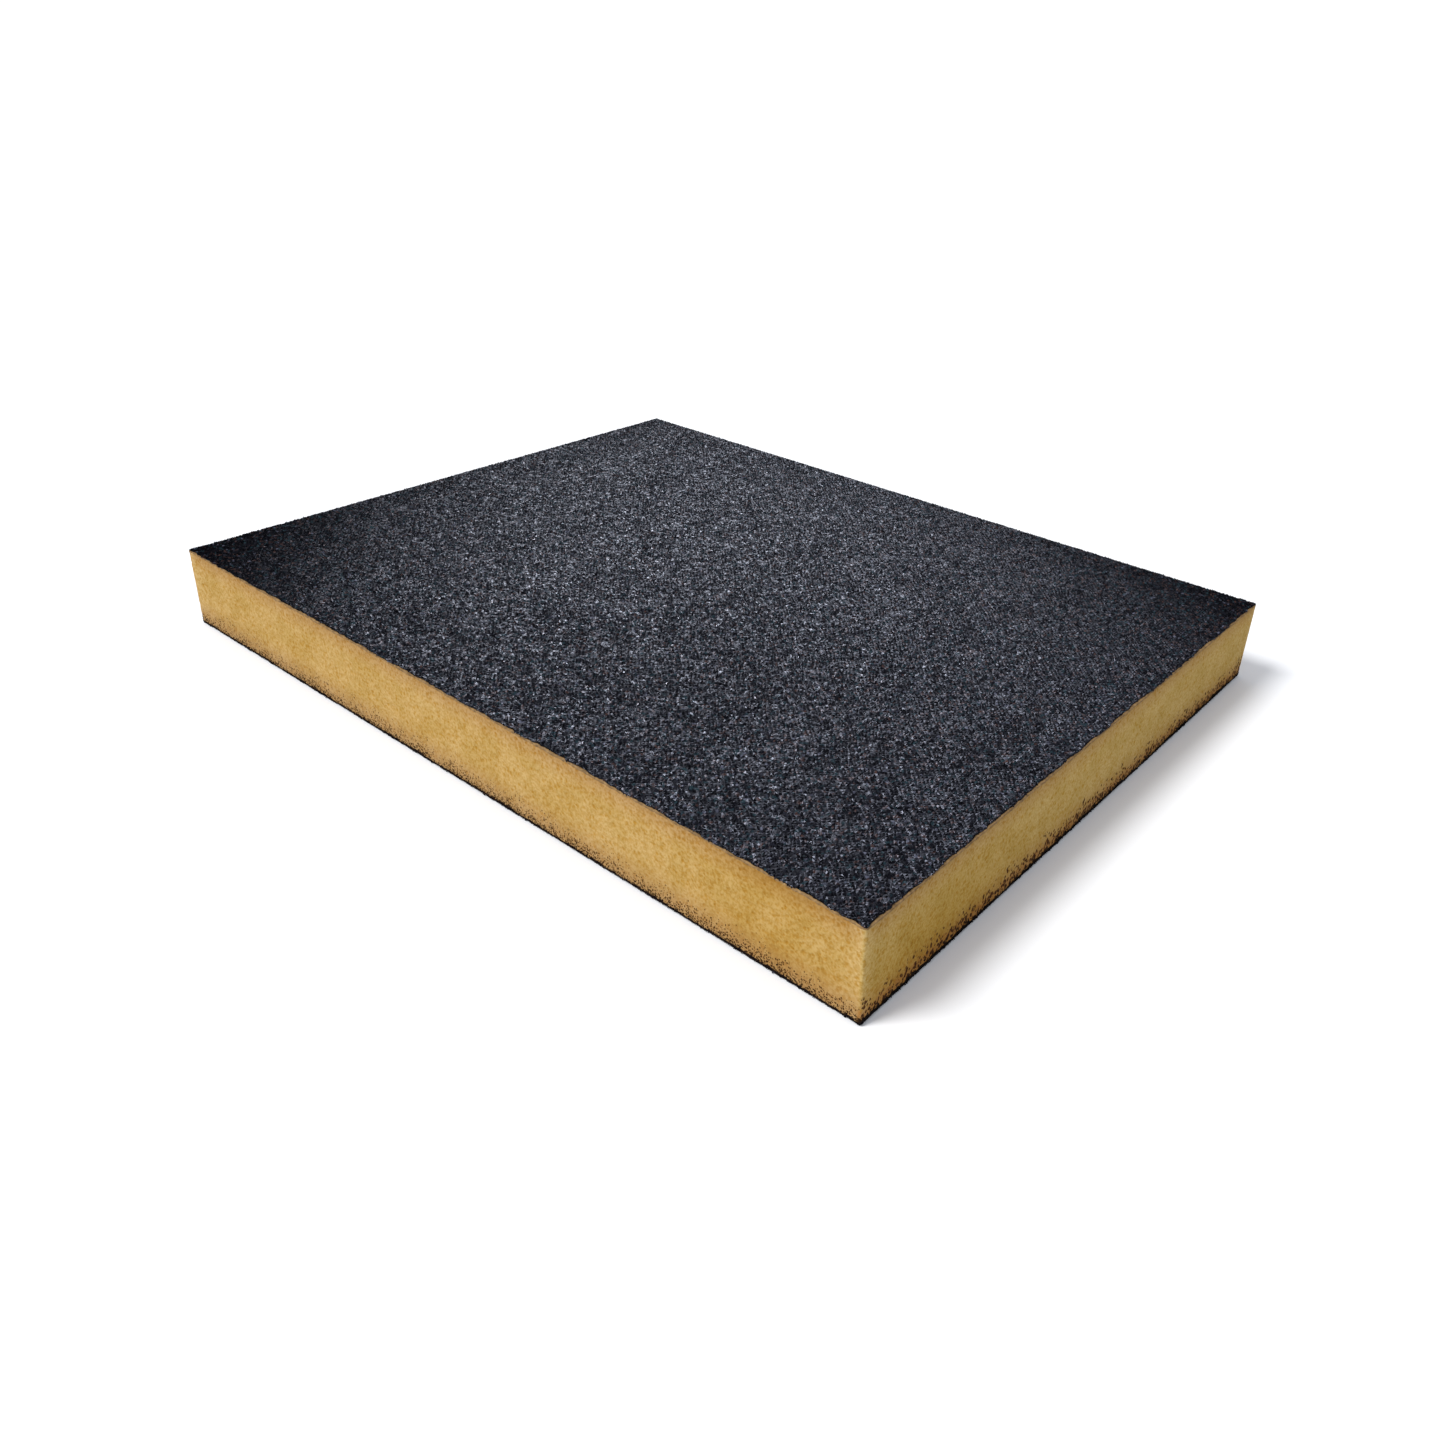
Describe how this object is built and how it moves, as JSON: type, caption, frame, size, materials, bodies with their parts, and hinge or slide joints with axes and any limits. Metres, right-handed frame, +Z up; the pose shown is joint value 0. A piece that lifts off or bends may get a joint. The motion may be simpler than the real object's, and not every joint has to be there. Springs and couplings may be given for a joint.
{
  "type": "foam sanding block",
  "caption": "Flat rectangular foam block with a coarse black abrasive coat on both large faces, for hand sanding; the foam is pressed thinner in use and springs back.",
  "frame": {"origin": "middle of the lower working face, at the base of the block as it lies flat", "axes": "+X along the 120 mm long side, +Y along the 98 mm width, +Z up through the thickness"},
  "size_m": [0.12, 0.098, 0.012],
  "materials": {
    "grit": "matte",
    "bond": "satin",
    "foam": "matte"
  },
  "bodies": {
    "lower": {"lower_grit_coat": "grit", "lower_bond_coat": "bond", "foam_core": "foam"},
    "upper": {"upper_bond_coat": "bond", "upper_grit_coat": "grit"}
  },
  "joints": [
    {"name": "press", "type": "slide", "parent": "lower", "child": "upper", "axis": [0, 0, -1], "range_m": [0, 0.004], "stiffness_N_per_m": 30000, "deforming": ["foam_core"]}
  ]
}
